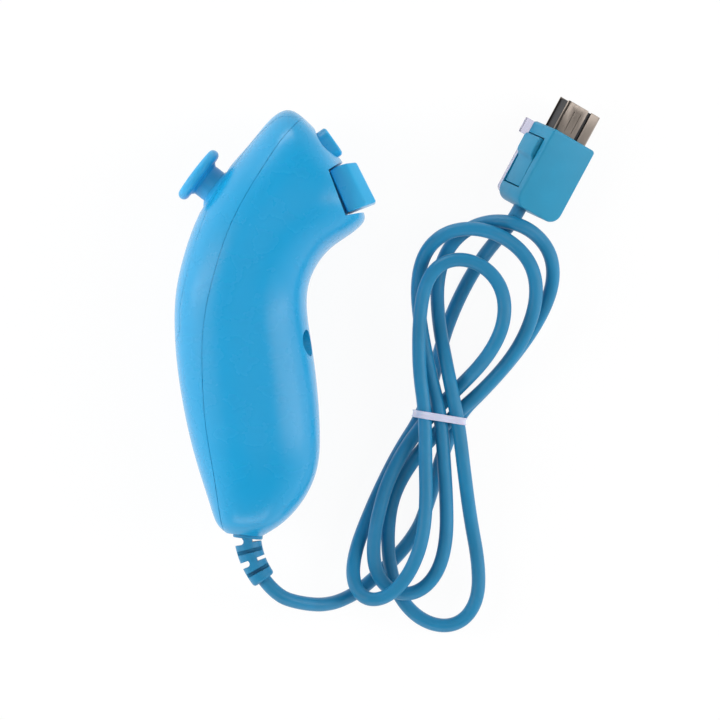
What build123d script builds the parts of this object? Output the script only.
from build123d import *
import os
from math import acos, asin, cos, degrees, pi, radians, sin, sqrt, tan

os.makedirs("parts", exist_ok=True)

# Handset body, lying on its flank: +Y runs up to its head, +X to its trigger side, +Z out of the upper flank
body_length = 112.2
body_depth = 46.4
body_width = 38.2
wall = 1.9
seam_gap = 0.12
overrun = 4.0

# Thumb stick and its two-axis mechanism
stick_face_depth = 8.5
stick_tilt = 16.0
cap_radius = 7.75
cap_edge = 2.8
cap_crown = 1.6
cap_stand_off = 3.7
cap_round = 1.1
neck_radius = 4.5
neck_flare = 0.8
skirt_radius = 9.6
skirt_wall = 0.7
skirt_gap = 0.3
skirt_angle = 62.0
gate_across = 14.8
shaft_radius = 1.0
shaft_tail = 2.4
ball_radius = 1.7
bail_width = 3.8
bail_wall = 1.0
bail_leg = 1.6
inner_bail_radius = 4.6
outer_bail_radius = 6.2
bail_slot_gap = 0.15
bail_slot_angle = 34.0
pivot_radius = 1.0
pivot_gap = 0.05
frame_size = 18.0
frame_wall = 1.2
frame_top = 1.6
frame_drop = 5.2
pot_width = 8.0
pot_thickness = 3.0
spring_radius = 3.0
spring_wall = 0.8

# Buttons on the crowned face at the top of the head
crown_height = 3.9
roof_height = 0.4
c_length = 8.3
c_width = 11.6
c_height = 5.5
c_corner = 2.8
c_travel = 1.0
button_gap = 0.25
button_edge = 1.1
flange_width = 1.0
flange_thickness = 1.0
plunger_radius = 1.6
trigger_width = 23.0
trigger_travel = 4.5
trigger_height = 6.6
trigger_floor_gap = 0.9
keel_width = 9.6
keel_depth = 5.8
trigger_pin_radius = 0.95
trigger_pin_depth = 4.2
pin_boss_radius = 2.1
pin_boss_length = 2.9
membrane_thickness = 0.8
membrane_width = 12.0
dome_radius = 2.6
dome_height = 0.7
button_board_depth = 8.4
board_thickness = 1.2
button_board_width = 19.6
board_post_radius = 1.2
board_post_spread = 16.6

# Boards, chips and fasteners inside
main_board_length = 32.0
main_board_top = 10.0
main_board_width = 24.0
post_radius = 2.0
lower_post_spread = 18.0
upper_post_spread = 22.6
board_screw_radius = 0.8
board_screw_head = 1.5
board_screw_length = 6.0
sensor_size = 5.0
sensor_height = 1.4
controller_size = 7.0
controller_height = 1.2
header_length = 8.0
header_width = 4.5
header_height = 5.0
case_screw_spread = 11.2
recess_radius = 3.4
recess_depth = 6.5
case_screw_radius = 1.2
case_screw_head = 2.6
case_screw_head_height = 1.6
case_screw_length = 27.5
case_screw_bite = 6.0
boss_radius = 2.8
wire_radius = 1.2
wire_lead = 4.0

# Strain relief, cord, hank and tie
cord_diameter = 3.7
relief_radius = 3.65
relief_end_radius = 3.35
relief_length = 11.9
relief_start_angle = 14.0
relief_end_angle = 46.0
relief_slot = 1.2
relief_web = 2.8
relief_gaps = 4
cord_sides = 8
collar_radius = 3.9
collar_length = 0.9
neck_in_wall_radius = 3.4
inner_flange_radius = 4.6
inner_flange_length = 1.4
cord_end_wall = 3.0
cord_gap = 0.45
hank_heading = 10.0
hank_reach = 50.0
tie_width = 2.0
tie_thickness = 0.8
tie_slack = 1.45

# Plug at the end of the cord, lying rolled on its edge
plug_width = 14.6
plug_height = 11.4
plug_length = 22.3
plug_corner = 2.5
plug_edge = 0.6
plug_roll = 31.0
plug_floor_gap = 0.05
shell_width = 11.2
shell_height = 5.6
shell_wall = 0.35
shell_corner = 0.8
shell_reach = 8.6
shell_root = 3.2
block_width = 8.6
block_height = 4.4
block_depth = 8.0
tongue_width = 8.8
tongue_thickness = 1.6
tongue_reach = 7.2
contact_count = 3
contact_width = 1.0
contact_proud = 0.15
fit_gap = 0.05
latch_length = 14.0
latch_width = 5.2
latch_thickness = 1.3
latch_recess = 2.5
latch_travel = 4.5
latch_hump = 0.9
latch_hump_length = 3.8
latch_pin_radius = 0.6
latch_boss_radius = 1.2
latch_gap = 0.3
hook_thickness = 1.2
hook_overhang = 1.2
hook_plate_width = 9.5
hook_plate_length = 20.0
hook_tab_length = 5.0
hook_tab_width = 4.2
cable_exit = 1.8

mid_z = body_width / 2


def at(x_share, y_share):
    """A point of the body's side outline, from shares of its depth and length."""
    return Vector(x_share * body_depth, y_share * body_length, 0)


def level(point, z):
    """The same point at another height."""
    return Vector(point.X, point.Y, z)


# Sections from the cord end to the button face: front point, rear point and half width, as shares of the
# body's depth, length, depth, length and width
section_shares = (
    (-0.022, -0.500, 0.179, -0.496, 0.131),
    (-0.078, -0.483, 0.254, -0.471, 0.220),
    (-0.136, -0.440, 0.332, -0.434, 0.293),
    (-0.207, -0.379, 0.399, -0.383, 0.348),
    (-0.284, -0.308, 0.436, -0.317, 0.385),
    (-0.358, -0.226, 0.422, -0.235, 0.403),
    (-0.429, -0.129, 0.373, -0.135, 0.416),
    (-0.476, -0.036, 0.306, -0.034, 0.432),
    (-0.494, 0.058, 0.246, 0.062, 0.453),
    (-0.472, 0.148, 0.259, 0.134, 0.476),
    (-0.431, 0.223, 0.336, 0.193, 0.492),
    (-0.366, 0.294, 0.435, 0.232, 0.4975),
    (-0.278, 0.359, 0.494, 0.260, 0.493),
    (-0.179, 0.422, 0.505, 0.272, 0.476),
    (-0.091, 0.478, 0.502, 0.282, 0.440),
    (-0.015, 0.500, 0.483, 0.298, 0.382),
    (0.093, 0.484, 0.433, 0.337, 0.277),
    (0.203, 0.450, 0.330, 0.400, 0.120),
)
section_power = 2.3
section_points = 16


def fuller(value):
    """One coordinate of an oval that is a little fuller than an ellipse."""
    return abs(value) ** (2 / section_power) * (1 if value > 0 else -1)


def section_face(shares, inset):
    """The section between a front and a rear point of the body, drawn in by the inset."""
    front, rear = at(shares[0], shares[1]), at(shares[2], shares[3])
    across = (rear - front).normalized()
    half_chord = (rear - front).length / 2 - inset
    half_width = shares[4] * body_width - inset
    turns = [2 * pi * n / section_points for n in range(section_points)]
    points = [(half_chord * fuller(cos(a)), half_width * fuller(sin(a))) for a in turns]
    middle = level((front + rear) / 2, mid_z)
    with BuildSketch(Plane(origin=middle, x_dir=across, z_dir=(-across.Y, across.X, 0))) as face:
        with BuildLine():
            Spline(*points, periodic=True)
        make_face()
    return face.sketch


# The button face has axes of its own: along it from the apex to the lip, and straight out of it
apex = at(-0.016, 0.500)
lip = at(0.506, 0.270)
face_dir = (lip - apex).normalized()
face_out = Vector(-face_dir.Y, face_dir.X, 0)
face_length = (lip - apex).length


def face_point(along, out, z):
    """A point given by its place along the button face, out of it and above the floor."""
    return level(apex + face_dir * along + face_out * out, z)


def face_side(z):
    """A level plane whose axes run along the button face and out of it."""
    return Plane(origin=face_point(0, 0, z), x_dir=face_dir, z_dir=(0, 0, 1))


def face_deck(along, out):
    """A plane parallel to the button face."""
    return Plane(origin=face_point(along, out, mid_z), x_dir=face_dir, z_dir=face_out)


c_place = 0.387 * face_length
notch_start = 0.551 * face_length
notch_end = 0.896 * face_length
notch_top = 2 * crown_height
notch_floor_start = -0.09 * crown_height
notch_floor_end = -0.90 * crown_height
lip_height = 0.20 * crown_height
notch_points = (
    (notch_start + button_gap, notch_top),
    (notch_start, notch_floor_start),
    (notch_end, notch_floor_end),
    (notch_end + wall, lip_height),
    (notch_end + 2 * wall, notch_top),
)


def notch_floor(along):
    """Height of the floor of the trigger's notch at a place along the button face."""
    share = (along - notch_start) / (notch_end - notch_start)
    return notch_floor_start + share * (notch_floor_end - notch_floor_start)


# The stick's axes: straight out of the front of the body, and up along it
stick_seat = at(-0.364, 0.299)
stick_lean = 29.1
stick_out = Vector(-cos(radians(stick_lean)), sin(radians(stick_lean)), 0)
stick_up = Vector(sin(radians(stick_lean)), cos(radians(stick_lean)), 0)
pivot = level(stick_seat - stick_out * stick_face_depth, mid_z)


def stick_deck(out):
    """A plane across the stick's axis; its axes run up the body and down to the floor."""
    return Plane(origin=pivot + stick_out * out, x_dir=stick_up, z_dir=stick_out)


stick_axis = Axis(pivot, stick_out)
stick_profile = Plane(origin=pivot, x_dir=(0, 0, 1), z_dir=-stick_up)
stick_side = Plane(origin=pivot, x_dir=stick_up, z_dir=(0, 0, 1))

# The seam between the front cover and the rear shell, seen from the side
seam_shares = (
    (-0.012, -0.520),
    (-0.041, -0.492),
    (-0.116, -0.391),
    (-0.211, -0.264),
    (-0.288, -0.136),
    (-0.323, -0.023),
    (-0.300, 0.111),
    (-0.267, 0.193),
    (-0.211, 0.272),
    (-0.115, 0.364),
    (-0.022, 0.438),
    (0.053, 0.472),
    (0.120, 0.512),
)


def front_side(shift):
    """Everything in front of the seam, as a slab as deep as the body is wide."""
    points = [at(*shares) + Vector(shift, 0, 0) for shares in seam_shares]
    first, last = points[0], points[-1]
    with BuildPart() as slab:
        with BuildSketch(Plane.XY.offset(-overrun)):
            with BuildLine():
                Spline(*[(p.X, p.Y) for p in points])
                Polyline(
                    (last.X, last.Y),
                    (last.X, body_length / 2 + overrun),
                    (-body_depth / 2 - overrun, body_length / 2 + overrun),
                    (-body_depth / 2 - overrun, -body_length / 2 - overrun),
                    (first.X, -body_length / 2 - overrun),
                    (first.X, first.Y),
                )
            make_face()
        extrude(amount=body_width + 2 * overrun)
    return slab.part


# The outer form of the handset, with the full-width notch that the trigger fills
with BuildPart() as outer:
    for shares in section_shares:
        add(section_face(shares, 0))
    loft()
    with BuildSketch(face_side(-overrun)):
        with BuildLine():
            Polyline(*notch_points, close=True)
        make_face()
    extrude(amount=body_width + 2 * overrun, mode=Mode.SUBTRACT)

# The hollow inside, which stays a wall away from the notch and under a thick button face
with BuildPart() as hollow:
    for shares in section_shares[1:-2]:
        add(section_face(shares, wall))
    loft()
    with BuildSketch(face_side(-overrun)):
        with BuildLine():
            Polyline(
                (-face_length, notch_top),
                (-face_length, roof_height),
                (notch_start - wall, roof_height),
                (notch_start - wall, notch_floor_start - wall),
                (notch_end, notch_floor_end - wall),
                (notch_end + 2 * wall, lip_height - wall),
                (2 * face_length, lip_height - wall),
                (2 * face_length, notch_top),
                close=True,
            )
        make_face()
    extrude(amount=body_width + 2 * overrun, mode=Mode.SUBTRACT)

# The case screws run across the grip, side by side, from the rear
screw_y = -0.033 * body_length
screw_head_x = 0.17 * body_depth
screw_places = [mid_z + side * case_screw_spread / 2 for side in (-1, 1)]
screw_seam_x = -0.30 * body_depth


def screw_plane(x, z):
    """A plane across a case screw."""
    return Plane(origin=(x, screw_y, z), x_dir=(0, 1, 0), z_dir=(1, 0, 0))


# The main board lies under the stick's frame, carried by four posts of the front cover
board_out = -frame_drop
post_places = (
    (main_board_top - main_board_length + 2 * post_radius, -lower_post_spread / 2),
    (main_board_top - main_board_length + 2 * post_radius, lower_post_spread / 2),
    (main_board_top - post_radius, -upper_post_spread / 2),
    (main_board_top - post_radius, upper_post_spread / 2),
)

with BuildPart() as front_cover:
    add(outer.part - hollow.part)
    add(front_side(0), mode=Mode.INTERSECT)
    with BuildSketch(stick_deck(board_out)):
        with Locations(*post_places):
            Circle(post_radius)
    extrude(amount=body_depth)
    for z in screw_places:
        with BuildSketch(screw_plane(screw_seam_x + seam_gap, z)):
            Circle(boss_radius)
        extrude(amount=-body_depth)
    add(outer.part, mode=Mode.INTERSECT)
    with BuildSketch(stick_deck(0)):
        RegularPolygon(gate_across / 2, 8, major_radius=False, rotation=180 / 8)
    extrude(amount=body_depth, mode=Mode.SUBTRACT)
    with Locations(pivot):
        Sphere(skirt_radius + skirt_gap, mode=Mode.SUBTRACT)
    for z in screw_places:
        with BuildSketch(screw_plane(screw_seam_x + seam_gap + overrun, z)):
            Circle(case_screw_radius - fit_gap)
        extrude(amount=-case_screw_bite - overrun - fit_gap, mode=Mode.SUBTRACT)
    with BuildSketch(stick_deck(board_out)):
        with Locations(*post_places[:2]):
            Circle(board_screw_radius - fit_gap)
    extrude(amount=board_screw_length, mode=Mode.SUBTRACT)
front_cover.part.label = "front_cover"

# The strain relief leaves through the flat cord end of the rear shell
end_front, end_rear = at(*section_shares[0][:2]), at(*section_shares[0][2:4])
end_across = (end_rear - end_front).normalized()
relief_out = Vector(end_across.Y, -end_across.X, 0)
relief_place = level(end_front + (end_rear - end_front) * 0.61, mid_z)


def relief_deck(drop):
    """A plane across the exit, a given way out of the cord end."""
    return Plane(origin=relief_place + relief_out * drop, x_dir=end_across, z_dir=relief_out)


pin_place = (notch_start + 2 * trigger_pin_radius + wall / 2, -trigger_pin_depth)
keel_start = notch_start + 1.3 * button_gap + trigger_pin_radius
keel_end = notch_end - wall / 2
pin_reach = keel_width / 2 + 2 * button_gap + pin_boss_length
window_start = keel_start - 2 * button_gap
window_end = keel_end + 2 * button_gap
button_posts = [
    (along, side * board_post_spread / 2)
    for along in (c_place - c_length / 2, notch_end - 2 * pin_boss_radius)
    for side in (-1, 1)
]

with BuildPart() as rear_shell:
    add(outer.part - hollow.part - front_side(seam_gap))
    with BuildSketch(face_deck(0, -button_board_depth)):
        with Locations(*button_posts):
            Circle(board_post_radius)
    extrude(amount=button_board_depth + roof_height + wall / 2)
    for side in (-1, 1):
        start = mid_z + side * (keel_width / 2 + 2 * button_gap)
        with BuildSketch(face_side(start)):
            with BuildLine():
                Polyline(
                    (pin_place[0] - pin_boss_radius, pin_place[1]),
                    (pin_place[0] - pin_boss_radius, notch_floor(pin_place[0]) - wall / 2),
                    (pin_place[0] + pin_boss_radius, notch_floor(pin_place[0]) - wall),
                    (pin_place[0] + pin_boss_radius, pin_place[1]),
                    close=True,
                )
            make_face()
            with Locations(pin_place):
                Circle(pin_boss_radius)
        extrude(amount=side * pin_boss_length)
    for z in screw_places:
        with BuildSketch(screw_plane(screw_head_x - wall, z)):
            Circle(recess_radius + wall / 2)
        extrude(amount=body_depth)
        with BuildSketch(screw_plane(screw_seam_x + 2 * seam_gap, z)):
            Circle(boss_radius)
        extrude(amount=screw_head_x - wall - screw_seam_x - 2 * seam_gap)
    add(outer.part, mode=Mode.INTERSECT)
    for z in screw_places:
        with BuildSketch(screw_plane(screw_head_x, z)):
            Circle(recess_radius)
        extrude(amount=body_depth, mode=Mode.SUBTRACT)
        with BuildSketch(screw_plane(screw_seam_x - overrun, z)):
            Circle(case_screw_radius + 2 * fit_gap)
        extrude(amount=body_depth, mode=Mode.SUBTRACT)
    with BuildSketch(face_deck(c_place, -overrun)):
        RectangleRounded(c_length + 2 * button_gap, c_width + 2 * button_gap, c_corner + button_gap)
    extrude(amount=3 * overrun, mode=Mode.SUBTRACT)
    with BuildSketch(face_side(mid_z - keel_width / 2 - button_gap)):
        with BuildLine():
            Polyline(
                (window_start, notch_floor_start + wall),
                (window_start, -button_board_depth),
                (window_end, -button_board_depth),
                (window_end, notch_floor_end + wall),
                close=True,
            )
        make_face()
    extrude(amount=keel_width + 2 * button_gap, mode=Mode.SUBTRACT)
    with BuildSketch(face_side(mid_z - pin_reach)):
        with Locations(pin_place):
            Circle(trigger_pin_radius + pivot_gap / 5)
    extrude(amount=2 * pin_reach, mode=Mode.SUBTRACT)
    with BuildSketch(relief_deck(-overrun)):
        Circle(neck_in_wall_radius + fit_gap)
    extrude(amount=2 * overrun, mode=Mode.SUBTRACT)
rear_shell.part.label = "rear_shell"

with BuildPart() as case_screws:
    for z in screw_places:
        with BuildSketch(screw_plane(screw_head_x, z)):
            Circle(case_screw_head)
        extrude(amount=case_screw_head_height)
        with BuildSketch(screw_plane(screw_head_x, z)):
            Circle(case_screw_radius)
        extrude(amount=-case_screw_length)
        with BuildSketch(screw_plane(screw_head_x + case_screw_head_height, z)):
            for turn in range(3):
                with Locations(Rotation(0, 0, 120 * turn)):
                    with Locations((case_screw_head / 3, 0)):
                        Rectangle(case_screw_head / 2, case_screw_head / 5)
        extrude(amount=-case_screw_head_height / 2, mode=Mode.SUBTRACT)
case_screws.part.label = "case_screws"

# Thumb stick: the cap, its neck and the skirt that closes the gate are one moulding
cap_under = stick_face_depth + cap_stand_off
cap_rim = cap_under + cap_edge
skirt_bottom = radians(skirt_angle)
skirt_inner = skirt_radius - skirt_wall
neck_foot = sqrt(skirt_radius**2 - neck_radius**2)
socket_bottom = outer_bail_radius + bail_wall + 2 * skirt_gap
socket_radius = shaft_radius + bail_wall + skirt_gap
crown_radius = ((cap_radius - cap_round) ** 2 + cap_crown**2) / (2 * cap_crown)
crown_middle = cap_rim + cap_crown - crown_radius
crown_turn = asin((cap_radius - cap_round) / crown_radius)
with BuildPart() as stick_cap:
    with BuildSketch(stick_profile):
        with BuildLine():
            Line((0, socket_bottom), (socket_radius, socket_bottom))
            Line((socket_radius, socket_bottom), (socket_radius, sqrt(skirt_inner**2 - socket_radius**2)))
            inner_start = degrees(acos(socket_radius / skirt_inner))
            CenterArc((0, 0), skirt_inner, inner_start, 90 - skirt_angle - inner_start)
            Line(
                (skirt_inner * sin(skirt_bottom), skirt_inner * cos(skirt_bottom)),
                (skirt_radius * sin(skirt_bottom), skirt_radius * cos(skirt_bottom)),
            )
            outer_end = degrees(acos(neck_radius / skirt_radius))
            CenterArc((0, 0), skirt_radius, 90 - skirt_angle, outer_end - 90 + skirt_angle)
            Line((neck_radius, neck_foot), (neck_radius, cap_under - neck_flare))
            Line((neck_radius, cap_under - neck_flare), (neck_radius + neck_flare, cap_under))
            Line((neck_radius + neck_flare, cap_under), (cap_radius - cap_round, cap_under))
            rim = (cap_radius, cap_under + cap_edge / 2)
            ThreePointArc(
                (cap_radius - cap_round, cap_under),
                (cap_radius - cap_round * (1 - sqrt(0.5)), cap_under + cap_round * (1 - sqrt(0.5))),
                rim,
            )
            ThreePointArc(
                rim,
                (cap_radius - cap_round * (1 - sqrt(0.5)), cap_rim - cap_round * (1 - sqrt(0.5))),
                (cap_radius - cap_round, cap_rim),
            )
            ThreePointArc(
                (cap_radius - cap_round, cap_rim),
                (crown_radius * sin(crown_turn / 2), crown_middle + crown_radius * cos(crown_turn / 2)),
                (0, cap_rim + cap_crown),
            )
            Line((0, cap_rim + cap_crown), (0, socket_bottom))
        make_face()
    revolve(axis=stick_axis)
    with BuildSketch(stick_deck(socket_bottom)):
        Circle(shaft_radius + fit_gap)
    extrude(amount=cap_under - socket_bottom, mode=Mode.SUBTRACT)
stick_cap.part.label = "stick_cap"

ball_foot = sqrt(ball_radius**2 - shaft_radius**2)
with BuildPart() as stick_shaft:
    with BuildSketch(stick_profile):
        with BuildLine():
            Polyline((0, -shaft_tail), (shaft_radius, -shaft_tail), (shaft_radius, -ball_foot))
            ThreePointArc((shaft_radius, -ball_foot), (ball_radius, 0), (shaft_radius, ball_foot))
            Polyline((shaft_radius, ball_foot), (shaft_radius, cap_under - fit_gap), (0, cap_under - fit_gap))
            Line((0, cap_under - fit_gap), (0, -shaft_tail))
        make_face()
    revolve(axis=stick_axis)
stick_shaft.part.label = "stick_shaft"


def bail(plane, radius):
    """A half ring over the pivot with a slot for the shaft, two legs and two pivot stubs."""
    reach = radius + bail_wall
    slot = 2 * (shaft_radius + bail_slot_gap)
    with BuildPart() as arch:
        with BuildSketch(plane.offset(-bail_width / 2)):
            Circle(reach)
            Circle(radius, mode=Mode.SUBTRACT)
            with Locations((0, -reach / 2 - bail_leg)):
                Rectangle(2 * reach, reach, mode=Mode.SUBTRACT)
            with Locations((-radius - bail_wall / 2, -bail_leg / 2), (radius + bail_wall / 2, -bail_leg / 2)):
                Rectangle(bail_wall, bail_leg)
        extrude(amount=bail_width)
        with BuildSketch(plane.offset(-slot / 2)):
            spread = reach * tan(radians(bail_slot_angle))
            Polygon((0, 0), (spread, reach), (spread, 2 * reach), (-spread, 2 * reach), (-spread, reach), align=None)
        extrude(amount=slot, mode=Mode.SUBTRACT)
        side = Plane(origin=plane.origin, x_dir=plane.z_dir, z_dir=plane.x_dir)
        for turn in (-1, 1):
            with BuildSketch(side.offset(turn * (radius + bail_wall / 2))):
                Circle(pivot_radius)
            extrude(amount=turn * (frame_size / 2 - radius - bail_wall / 2))
    return arch.part


stick_cradle = bail(stick_profile, outer_bail_radius)
stick_cradle.label = "stick_cradle"
stick_cross_arm = bail(stick_side, inner_bail_radius)
stick_cross_arm.label = "stick_cross_arm"

with BuildPart() as stick_frame:
    with BuildSketch(stick_deck(-frame_drop)):
        Rectangle(frame_size, frame_size)
    extrude(amount=frame_drop + frame_top)
    with BuildSketch(stick_deck(frame_wall - frame_drop)):
        Rectangle(frame_size - 2 * frame_wall, frame_size - 2 * frame_wall)
    extrude(amount=frame_drop + frame_top, mode=Mode.SUBTRACT)
    for plane in (
        Plane(origin=pivot, x_dir=stick_out, z_dir=stick_up),
        Plane(origin=pivot, x_dir=stick_out, z_dir=(0, 0, 1)),
    ):
        with BuildSketch(plane.offset(-frame_size)):
            Circle(pivot_radius + pivot_gap)
        extrude(amount=2 * frame_size, mode=Mode.SUBTRACT)
stick_frame.part.label = "stick_frame"

spring_height = frame_drop - frame_wall - shaft_tail - 2 * skirt_gap
with BuildPart() as centring_spring:
    with BuildSketch(stick_deck(frame_wall - frame_drop)):
        Circle(spring_radius)
        Circle(spring_radius - spring_wall, mode=Mode.SUBTRACT)
    extrude(amount=spring_height)
centring_spring.part.label = "centring_spring"


def potentiometer(side_plane):
    """A flat sensor against one wall of the stick's frame."""
    with BuildPart() as pot:
        with BuildSketch(side_plane):
            with Locations(((frame_top - frame_drop) / 2, 0)):
                RectangleRounded(frame_drop + frame_top, pot_width, pot_thickness / 4)
            Circle(pivot_radius + pivot_gap, mode=Mode.SUBTRACT)
        extrude(amount=pot_thickness)
    return pot.part


up_pot = potentiometer(Plane(origin=pivot + stick_up * frame_size / 2, x_dir=stick_out, z_dir=stick_up))
up_pot.label = "potentiometer_up"
side_pot = potentiometer(
    Plane(origin=pivot - Vector(0, 0, frame_size / 2), x_dir=stick_out, z_dir=(0, 0, -1))
)
side_pot.label = "potentiometer_side"

# Boards and what is on them
board_middle = main_board_top - main_board_length / 2
with BuildPart() as main_board:
    with BuildSketch(stick_deck(board_out - board_thickness)):
        with Locations((board_middle, 0)):
            RectangleRounded(main_board_length, main_board_width, post_radius)
        with Locations(*post_places[:2]):
            Circle(board_screw_radius + fit_gap, mode=Mode.SUBTRACT)
    extrude(amount=board_thickness)
main_board.part.label = "main_board"

with BuildPart() as board_screws:
    with BuildSketch(stick_deck(board_out - board_thickness)):
        with Locations(*post_places[:2]):
            Circle(board_screw_head)
    extrude(amount=-board_screw_head / 2)
    with BuildSketch(stick_deck(board_out - board_thickness)):
        with Locations(*post_places[:2]):
            Circle(board_screw_radius)
    extrude(amount=board_screw_length)
board_screws.part.label = "board_screws"


def chip(place, length, width, height):
    """A block on the back of the main board."""
    with BuildPart() as block:
        with BuildSketch(stick_deck(board_out - board_thickness)):
            with Locations(place):
                Rectangle(length, width)
        extrude(amount=-height)
    return block.part


motion_sensor = chip((board_middle, 0), sensor_size, sensor_size, sensor_height)
motion_sensor.label = "motion_sensor"
controller_chip = chip((main_board_top - controller_size, 0), controller_size, controller_size, controller_height)
controller_chip.label = "controller_chip"
header_place = (main_board_top - main_board_length + header_width, 0)
wire_header = chip(header_place, header_width, header_length, header_height)
wire_header.label = "wire_header"

# Buttons
c_foot = roof_height - fit_gap
plunger_reach = button_board_depth - membrane_thickness - dome_height - fit_gap - c_travel
with BuildPart() as c_button:
    with BuildSketch(face_deck(c_place, c_foot - flange_thickness)):
        RectangleRounded(c_length, c_width, c_corner)
    extrude(amount=c_height + flange_thickness - c_foot)
    fillet(c_button.edges().group_by(Axis(pivot, face_out))[-1], radius=button_edge)
    with BuildSketch(face_deck(c_place, c_foot - flange_thickness)):
        with Locations((-flange_width, 0)):
            Rectangle(c_length, c_width + 2 * flange_width)
    extrude(amount=flange_thickness)
    with BuildSketch(face_deck(c_place, -plunger_reach)):
        Circle(plunger_radius)
    extrude(amount=plunger_reach)
c_button.part.label = "c_button"

trigger_points = (
    (notch_start + 2 * button_gap, notch_floor_start + trigger_floor_gap),
    (notch_start + 3 * button_gap, trigger_height - 2 * button_edge),
    (notch_start + 2 * button_edge, trigger_height),
    (notch_end - 4 * button_edge, trigger_height - button_gap),
    (notch_end + wall - 2 * button_gap, trigger_height - button_edge),
    (notch_end + wall / 2, lip_height + button_gap),
    (notch_end - button_gap, notch_floor_end + trigger_floor_gap + button_gap),
)
nub_reach = button_board_depth - membrane_thickness - dome_height - fit_gap - c_travel
with BuildPart() as z_trigger:
    with BuildSketch(face_side(mid_z - trigger_width / 2)):
        with BuildLine():
            Polyline(*trigger_points, close=True)
        make_face()
    extrude(amount=trigger_width)
    fillet(z_trigger.edges().filter_by(Axis.Z).group_by(Axis(pivot, face_out))[-1], radius=button_edge)
    with BuildSketch(face_side(mid_z - keel_width / 2)):
        with BuildLine():
            Polyline(
                (keel_start, trigger_floor_gap),
                (keel_start, -keel_depth),
                (pin_place[0] + 2 * trigger_pin_radius, -keel_depth),
                (pin_place[0] + 3 * trigger_pin_radius, notch_floor_end - wall / 2),
                (keel_end - plunger_radius, notch_floor_end - wall / 2),
                (keel_end - plunger_radius, -nub_reach),
                (keel_end, -nub_reach),
                (keel_end, notch_floor_end + trigger_floor_gap + wall),
                close=True,
            )
        make_face()
        with Locations(pin_place):
            Circle(trigger_pin_radius + pivot_gap, mode=Mode.SUBTRACT)
    extrude(amount=keel_width)
z_trigger.part.label = "z_trigger"

with BuildPart() as trigger_pin:
    with BuildSketch(face_side(mid_z - pin_reach)):
        with Locations(pin_place):
            Circle(trigger_pin_radius)
    extrude(amount=2 * pin_reach)
trigger_pin.part.label = "trigger_pin"

button_board_start = c_place - c_length / 2 - 2 * board_post_radius
button_board_end = notch_end
dome_places = (c_place, keel_end - plunger_radius / 2)
with BuildPart() as button_board:
    with BuildSketch(face_deck(0, -button_board_depth - board_thickness)):
        with Locations(((button_board_start + button_board_end) / 2, 0)):
            RectangleRounded(button_board_end - button_board_start, button_board_width, board_post_radius)
    extrude(amount=board_thickness)
button_board.part.label = "button_board"

with BuildPart() as button_membrane:
    with BuildSketch(face_deck(0, -button_board_depth)):
        with Locations(((button_board_start + button_board_end) / 2, 0)):
            RectangleRounded(button_board_end - button_board_start, membrane_width, board_post_radius)
    extrude(amount=membrane_thickness)
    for place in dome_places:
        with BuildSketch(face_deck(place, membrane_thickness - button_board_depth)):
            Circle(dome_radius)
        extrude(amount=dome_height, taper=30)
button_membrane.part.label = "button_membrane"

# Free stretches of cord are tubes along routes of hand-chosen points, turned as wide as the runs allow


def route_radii(points):
    """The widest turn each corner of a route can take."""
    radii = []
    for before, here, after in zip(points, points[1:], points[2:]):
        half = radians((here - before).get_angle(after - here)) / 2
        radii.append(0.45 * min((here - before).length, (after - here).length) / tan(half))
    return radii


def tube(points, radius):
    """A tube along a route, with few sides."""
    radii = route_radii(points)
    print("tightest turn", round(min(radii), 1))
    with BuildPart() as run:
        with BuildLine() as path:
            FilletPolyline(*points, radius=radii)
        with BuildSketch(Plane(origin=points[0], z_dir=points[1] - points[0])) as section:
            RegularPolygon(radius, cord_sides)
        sweep()
    print("tube share", round(run.part.volume / (section.sketch.area * path.wire().length), 3))
    return run.part


cord_radius = cord_diameter / 2

# Strain relief: a flange inside, a collar outside, and a tapered body that bends towards the cord
relief_turn = radians(relief_end_angle - relief_start_angle)
relief_bend = relief_length / relief_turn
relief_foot = relief_place + relief_out * collar_length


def relief_frame(share):
    """A plane across the strain relief at a share of its length."""
    start = radians(relief_start_angle)
    here = start + share * relief_turn
    shift = Vector(relief_bend * (cos(start) - cos(here)), relief_bend * (sin(start) - sin(here)), 0)
    return Plane(origin=relief_foot + shift, x_dir=(0, 0, 1), z_dir=(sin(here), -cos(here), 0))


with BuildPart() as strain_relief:
    with BuildSketch(relief_deck(-cord_end_wall - inner_flange_length)):
        Circle(inner_flange_radius)
    extrude(amount=inner_flange_length)
    with BuildSketch(relief_deck(-cord_end_wall - inner_flange_length / 2)):
        Circle(neck_in_wall_radius)
    extrude(amount=cord_end_wall + inner_flange_length)
    with BuildSketch(relief_deck(0)):
        Circle(collar_radius)
    extrude(amount=collar_length)
    for share in (0, 0.25, 0.5, 0.75, 1):
        with BuildSketch(relief_frame(share)):
            Circle(relief_radius + share * (relief_end_radius - relief_radius))
    loft()
    for n in range(relief_gaps):
        with BuildSketch(relief_frame((n + 1) / (relief_gaps + 1))):
            Circle(2 * relief_radius)
            Circle(cord_radius, mode=Mode.SUBTRACT)
            if n % 2:
                Rectangle(4 * relief_radius, relief_web, mode=Mode.SUBTRACT)
            else:
                Rectangle(relief_web, 4 * relief_radius, mode=Mode.SUBTRACT)
        extrude(amount=relief_slot / 2, both=True, mode=Mode.SUBTRACT)
strain_relief.part.label = "strain_relief"

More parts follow.
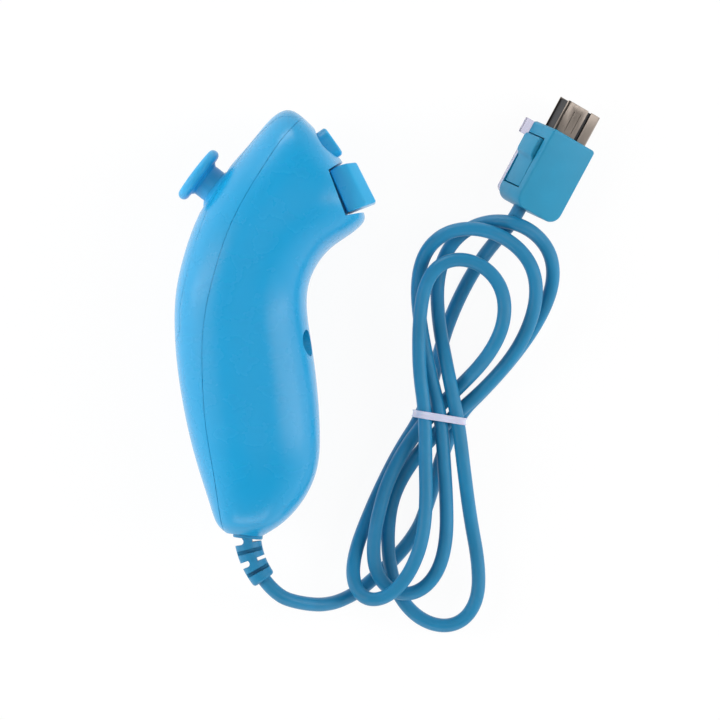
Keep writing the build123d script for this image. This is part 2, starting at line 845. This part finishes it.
wire_route = [
    relief_deck(-cord_end_wall - inner_flange_length - fit_gap).origin,
    Vector(4.4, -45.5, mid_z),
    Vector(1.5, -37, mid_z),
    Vector(-3.5, -27, mid_z),
    Vector(-8.2, -16, mid_z),
    Vector(-12.6, -5.5, mid_z),
    pivot + stick_out * (board_out - board_thickness - header_height / 2)
    - stick_up * (main_board_length - main_board_top + wire_lead),
    pivot + stick_out * (board_out - board_thickness - header_height / 2)
    + stick_up * (header_place[0] - header_width / 2),
]
signal_wires = tube(wire_route, wire_radius)
signal_wires.label = "signal_wires"

first_run = 5.2
last_run = 4.4
relief_tip = relief_frame(1)
lead_route = [
    relief_tip.origin,
    relief_tip.origin + relief_tip.z_dir * first_run,
    Vector(20.5, -71.8, 16.4),
    Vector(28, -71.6, 11.2),
    Vector(34.6, -68, 5.6),
    Vector(39.6, -62.6, 2.2),
    Vector(44.2, -56.8, 1.85),
    Vector(48, -50.6, 1.85),
    Vector(50.2, -44.5, 1.85),
]
cord_lead = tube(lead_route, cord_radius)
cord_lead.label = "cord_lead"

# Plug: axes across its wide faces (u), forwards (v) and out of its upper wide face (w)
plug_heading = 20.2
plug_front = Vector(sin(radians(plug_heading)), cos(radians(plug_heading)), 0)
plug_side = Vector(cos(radians(plug_heading)), -sin(radians(plug_heading)), 0)
plug_u = plug_side * cos(radians(plug_roll)) - Vector(0, 0, sin(radians(plug_roll)))
plug_w = plug_side * sin(radians(plug_roll)) + Vector(0, 0, cos(radians(plug_roll)))
plug_rise = (
    plug_width / 2 * sin(radians(plug_roll)) + plug_height / 2 * cos(radians(plug_roll)) + plug_floor_gap
)
plug_middle = Vector(69, 49.55, plug_rise)


def plug_point(u, v, w):
    """A point given in the plug's own axes."""
    return plug_middle + plug_u * u + plug_front * v + plug_w * w


def plug_deck(w):
    """A plane parallel to the plug's wide faces; its axes run across the plug and forwards."""
    return Plane(origin=plug_point(0, 0, w), x_dir=plug_u, z_dir=plug_w)


def plug_across(v):
    """A plane across the plug, facing its front; its second axis points down through the plug."""
    return Plane(origin=plug_point(0, v, 0), x_dir=plug_u, z_dir=plug_front)


face_v = plug_length / 2
recess_start, recess_end = -0.31 * plug_length, 0.345 * plug_length
latch_start = recess_start + latch_gap + fit_gap
latch_pivot_v = latch_start + latch_boss_radius
latch_pivot_u = plug_width / 2 - latch_boss_radius
pin_reach = latch_width / 2 + latch_gap + latch_thickness

with BuildPart() as housing:
    with BuildSketch(plug_deck(-plug_height / 2)):
        RectangleRounded(plug_width, plug_length, plug_corner)
    extrude(amount=plug_height)
    ends = housing.faces().filter_by(Plane(plug_middle, z_dir=plug_w)).edges()
    chamfer(ends, length=plug_edge)
    with BuildSketch(plug_across(face_v - block_depth - fit_gap)):
        Rectangle(block_width + 2 * fit_gap, block_height + 2 * fit_gap)
    extrude(amount=plug_length, mode=Mode.SUBTRACT)
    with BuildSketch(plug_across(face_v - shell_root - fit_gap)):
        RectangleRounded(shell_width + 2 * fit_gap, shell_height + 2 * fit_gap, shell_corner)
    extrude(amount=plug_length, mode=Mode.SUBTRACT)
    with BuildSketch(plug_deck(-latch_width / 2 - latch_gap)):
        for side in (-1, 1):
            with Locations((side * plug_width / 2, (recess_start + recess_end) / 2)):
                Rectangle(2 * latch_recess, recess_end - recess_start)
    extrude(amount=latch_width + 2 * latch_gap, mode=Mode.SUBTRACT)
    with BuildSketch(plug_deck(-pin_reach)):
        with Locations((-latch_pivot_u, latch_pivot_v), (latch_pivot_u, latch_pivot_v)):
            Circle(latch_pin_radius)
    extrude(amount=2 * pin_reach, mode=Mode.SUBTRACT)


def plug_half(side):
    """The half of the plug's housing on one side of its parting line."""
    with BuildPart() as half:
        with BuildSketch(plug_deck(0)):
            Rectangle(2 * plug_width, 2 * plug_length)
        extrude(amount=side * plug_height)
        add(housing.part, mode=Mode.INTERSECT)
    return half.part


plug_cover = plug_half(1)
plug_cover.label = "plug_cover"
plug_base = plug_half(-1)
plug_base.label = "plug_base"

with BuildPart() as plug_shell:
    with BuildSketch(plug_across(face_v - shell_root)):
        RectangleRounded(shell_width, shell_height, shell_corner)
        RectangleRounded(
            shell_width - 2 * shell_wall, shell_height - 2 * shell_wall, shell_corner - shell_wall, mode=Mode.SUBTRACT
        )
    extrude(amount=shell_root + shell_reach)
plug_shell.part.label = "plug_shell"

with BuildPart() as contact_block:
    with BuildSketch(plug_across(face_v - block_depth)):
        Rectangle(block_width, block_height)
    extrude(amount=block_depth)
    with BuildSketch(plug_across(face_v)):
        Rectangle(tongue_width, tongue_thickness)
    extrude(amount=tongue_reach)
contact_block.part.label = "contact_block"

contact_pitch = tongue_width / contact_count
with BuildPart() as contacts:
    for side in (-1, 1):
        with BuildSketch(plug_deck(side * tongue_thickness / 2)):
            with Locations((0, face_v + tongue_reach / 2)):
                with GridLocations(contact_pitch, 0, contact_count, 1):
                    Rectangle(contact_width, tongue_reach - 2 * contact_width)
        extrude(amount=side * contact_proud)
contacts.part.label = "contacts"


def latch(side):
    """One squeeze latch: a lever on a pin, with a hump at its front for the finger."""
    outer_u = plug_width / 2 - latch_gap / 3
    front_v = recess_end - latch_gap
    with BuildPart() as lever:
        with BuildSketch(plug_deck(-latch_width / 2)):
            with BuildLine():
                Polyline(
                    (side * (outer_u - latch_thickness), latch_pivot_v),
                    (side * outer_u, latch_pivot_v),
                    (side * outer_u, front_v - 2 * latch_hump_length / 2 - latch_hump),
                    (side * (outer_u + latch_hump), front_v - latch_hump_length),
                    (side * (outer_u + latch_hump), front_v - latch_hump),
                    (side * outer_u, front_v),
                    (side * (outer_u - latch_thickness), front_v),
                    close=True,
                )
            make_face()
            with Locations((side * latch_pivot_u, latch_pivot_v)):
                Circle(latch_boss_radius)
                Circle(latch_pin_radius + pivot_gap, mode=Mode.SUBTRACT)
        extrude(amount=latch_width)
    return lever.part


latch_left = latch(-1)
latch_left.label = "latch_left"
latch_right = latch(1)
latch_right.label = "latch_right"

with BuildPart() as latch_pins:
    with BuildSketch(plug_deck(-pin_reach)):
        with Locations((-latch_pivot_u, latch_pivot_v), (latch_pivot_u, latch_pivot_v)):
            Circle(latch_pin_radius)
    extrude(amount=2 * pin_reach)
latch_pins.part.label = "latch_pins"

hook_left = -plug_width / 2 - hook_overhang
with BuildPart() as strap_hook:
    with BuildSketch(plug_deck(-plug_height / 2)):
        with Locations((hook_left + hook_plate_width / 2, face_v - hook_plate_length / 2)):
            RectangleRounded(hook_plate_width, hook_plate_length, hook_overhang)
        with Locations((hook_left + hook_tab_width / 2, face_v + hook_tab_length / 2 - hook_overhang)):
            RectangleRounded(hook_tab_width, hook_tab_length + 2 * hook_overhang, hook_overhang)
    extrude(amount=-hook_thickness)
strap_hook.part.label = "strap_hook"

tail_end = plug_point(-cable_exit, -face_v, 0)
tail_route = [
    Vector(48.1, -0.5, 1.85),
    Vector(49.2, 6.3, 1.85),
    Vector(51, 13.2, 1.9),
    Vector(53.4, 20, 2.2),
    Vector(56.2, 26, 4),
    Vector(59.2, 31, 7.4),
    tail_end - plug_front * last_run,
    tail_end,
]
cord_tail = tube(tail_route, cord_radius)
cord_tail.label = "cord_tail"

# The hank: one unbroken length of cord in a figure eight of six lobes, gathered at its waist by the tie.
# Each lobe: way it points, then reach, half width and lean as shares of the hank's reach, then where it
# enters and leaves the waist as shares of the cord's pitch
hank_up = Vector(sin(radians(hank_heading)), cos(radians(hank_heading)), 0)
hank_across = Vector(cos(radians(hank_heading)), -sin(radians(hank_heading)), 0)
waist = Vector(51.12, -18.35, cord_radius + fit_gap)
cord_pitch = cord_diameter + cord_gap
lobe_shares = (
    (1, 1.100, 0.304, 0.05, 0.675, 1.060),
    (-1, 1.060, 0.256, -0.27, 1.060, 0.434),
    (1, 1.016, 0.324, -0.06, 0.434, -0.096),
    (-1, 0.956, 0.192, -0.06, -0.096, -0.771),
    (1, 0.836, 0.226, -0.13, -0.771, -1.181),
    (-1, 1.032, 0.160, 0.08, -1.181, -1.181),
)
# How many pitches of cord each lobe lies above the floor, at these shares of its length
height_shares = (0, 0.06, 0.2, 0.4, 0.5, 0.62, 0.8, 0.94, 1)
lobe_height_shares = (
    (0.2, 0.2, 1.1, 2.0, 2.9, 1.6, 1.2, 2.4, 2.4),
    (2.4, 2.3, 1.0, 1.0, 1.0, 1.0, 1.0, 1.0, 1.2),
    (1.2, 1.3, 2.2, 2.6, 3.2, 3.2, 2.3, 2.2, 2.4),
    (2.4, 2.3, 2.0, 2.0, 2.0, 2.0, 2.2, 1.7, 1.2),
    (1.2, 1.2, 3.2, 3.2, 3.4, 3.6, 3.5, 3.2, 2.9),
    (2.9, 2.9, 3.1, 3.1, 3.1, 2.2, 0.8, 0.1, 0.2),
)
node_shares = (0, 0.08, 0.2, 0.35, 0.5, 0.65, 0.8, 0.92)
waist_share = 0.3
step_share = 0.02


def ease(value):
    """Goes from 0 to 1 with no kink at either end."""
    value = min(max(value, 0), 1)
    return value**3 * (10 - 15 * value + 6 * value**2)


def hank_place(along, across, height):
    """A point given in the hank's own axes."""
    return waist + hank_up * along + hank_across * across + Vector(0, 0, height)


def lobe_point(lobe, share):
    """The middle of the cord at a share of one lobe."""
    side, reach, half_width, lean, way_in, way_out = lobe_shares[lobe]
    along = side * reach * hank_reach * sin(pi * share)
    near_in = 1 - ease(share / waist_share)
    near_out = 1 - ease((1 - share) / waist_share)
    across = half_width * hank_reach * sin(2 * pi * share) + lean * along * (1 - near_in - near_out)
    across += cord_pitch * (way_in * near_in + way_out * near_out)
    levels = lobe_height_shares[lobe]
    height = levels[-1]
    for n in range(len(height_shares) - 1):
        start, end = height_shares[n], height_shares[n + 1]
        if start <= share < end:
            height = levels[n] + (levels[n + 1] - levels[n]) * ease((share - start) / (end - start))
    return hank_place(along, across, height * cord_pitch)


def lobe_heading(lobe, share):
    """The way the cord runs at a share of one lobe, taken between a point before it and one after."""
    if share:
        before = lobe_point(lobe, share - step_share)
    elif lobe:
        before = lobe_point(lobe - 1, 1 - step_share)
    else:
        before = lobe_point(lobe, share)
    return (lobe_point(lobe, share + step_share) - before).normalized()


def bow(start, heading, end):
    """The middle of the arc that leaves the start along a heading and reaches the end."""
    chord = end - start
    aside = heading - chord.normalized() * heading.dot(chord.normalized())
    turn = heading.get_angle(chord)
    return (start + end) / 2 + aside.normalized() * chord.length / 2 * tan(radians(turn / 2))


def biarc(start, heading, end, last_heading):
    """The two arcs that join two points and keep both headings: each as three points."""
    chord = end - start
    both = heading + last_heading
    open_share = 2 * (1 - heading.dot(last_heading))
    lift = chord.dot(both)
    reach = (sqrt(lift**2 + open_share * chord.dot(chord)) - lift) / open_share
    middle = (start + end + (heading - last_heading) * reach) / 2
    first = middle - start
    turned = first.normalized() * (2 * heading.dot(first.normalized())) - heading
    return (start, bow(start, heading, middle), middle), (middle, bow(middle, turned, end), end)


def measured_gap(arcs):
    """The least gap of the hank to itself, on points along its arcs."""
    spots = []
    for arc in arcs:
        spots += [arc @ (n / 8) for n in range(8)]
    along = [0]
    for before, here in zip(spots, spots[1:]):
        along.append(along[-1] + (here - before).length)
    least = hank_reach
    for n, spot in enumerate(spots):
        for k in range(n + 1, len(spots)):
            if along[k] - along[n] > 3 * cord_pitch + wall:
                least = min(least, (spots[k] - spot).length - cord_diameter)
    return least


hank_points = [lead_route[-1]]
hank_headings = [(lead_route[-1] - lead_route[-2]).normalized()]
for lobe in range(len(lobe_shares)):
    for share in node_shares:
        hank_points.append(lobe_point(lobe, share))
        hank_headings.append(lobe_heading(lobe, share))
last_lobe = len(lobe_shares) - 1
hank_points += [lobe_point(last_lobe, 1), tail_route[0]]
hank_headings.append((lobe_point(last_lobe, 1) - lobe_point(last_lobe, 1 - step_share)).normalized())
hank_headings.append((tail_route[1] - tail_route[0]).normalized())
with BuildPart() as cord_hank:
    with BuildLine() as hank_path:
        for n in range(len(hank_points) - 1):
            for three in biarc(hank_points[n], hank_headings[n], hank_points[n + 1], hank_headings[n + 1]):
                ThreePointArc(*three)
    with BuildSketch(Plane(origin=hank_points[0], z_dir=hank_headings[0])):
        RegularPolygon(cord_radius, cord_sides)
    sweep()
cord_hank.part.label = "cord_hank"
hank_arcs = hank_path.edges().sort_by(hank_path.wire())
print("least gap of the hank to itself", round(measured_gap(hank_arcs), 2))
print("tightest turn of the hank", round(min(arc.radius for arc in hank_arcs), 1))

# The tie closes round the whole bundle at the waist
tie_left = cord_pitch * min(row[5] for row in lobe_shares) - tie_slack * cord_radius
tie_right = cord_pitch * max(row[5] for row in lobe_shares) + tie_slack * cord_radius
tie_floor = cord_pitch * min(row[0] for row in lobe_height_shares) - cord_radius - fit_gap
tie_roof = cord_pitch * max(row[0] for row in lobe_height_shares) + cord_radius + 2 * fit_gap
with BuildPart() as cord_tie:
    with BuildSketch(Plane(origin=waist, x_dir=hank_across, z_dir=-hank_up)):
        with Locations(((tie_left + tie_right) / 2, (tie_floor + tie_roof) / 2)):
            RectangleRounded(
                tie_right - tie_left + 2 * tie_thickness, tie_roof - tie_floor + 2 * tie_thickness, cord_radius
            )
            RectangleRounded(tie_right - tie_left, tie_roof - tie_floor, cord_radius - tie_thickness, mode=Mode.SUBTRACT)
    extrude(amount=tie_width / 2, both=True)
cord_tie.part.label = "cord_tie"

pieces = (
    front_cover.part,
    rear_shell.part,
    case_screws.part,
    stick_cap.part,
    stick_shaft.part,
    stick_cradle,
    stick_cross_arm,
    stick_frame.part,
    centring_spring.part,
    up_pot,
    side_pot,
    main_board.part,
    board_screws.part,
    motion_sensor,
    controller_chip,
    wire_header,
    signal_wires,
    c_button.part,
    z_trigger.part,
    trigger_pin.part,
    button_board.part,
    button_membrane.part,
    strain_relief.part,
    cord_lead,
    cord_hank.part,
    cord_tail,
    cord_tie.part,
    plug_cover,
    plug_base,
    plug_shell.part,
    contact_block.part,
    contacts.part,
    latch_left,
    latch_right,
    latch_pins.part,
    strap_hook.part,
)
for piece in pieces:
    export_step(piece, f"parts/{piece.label}.step")
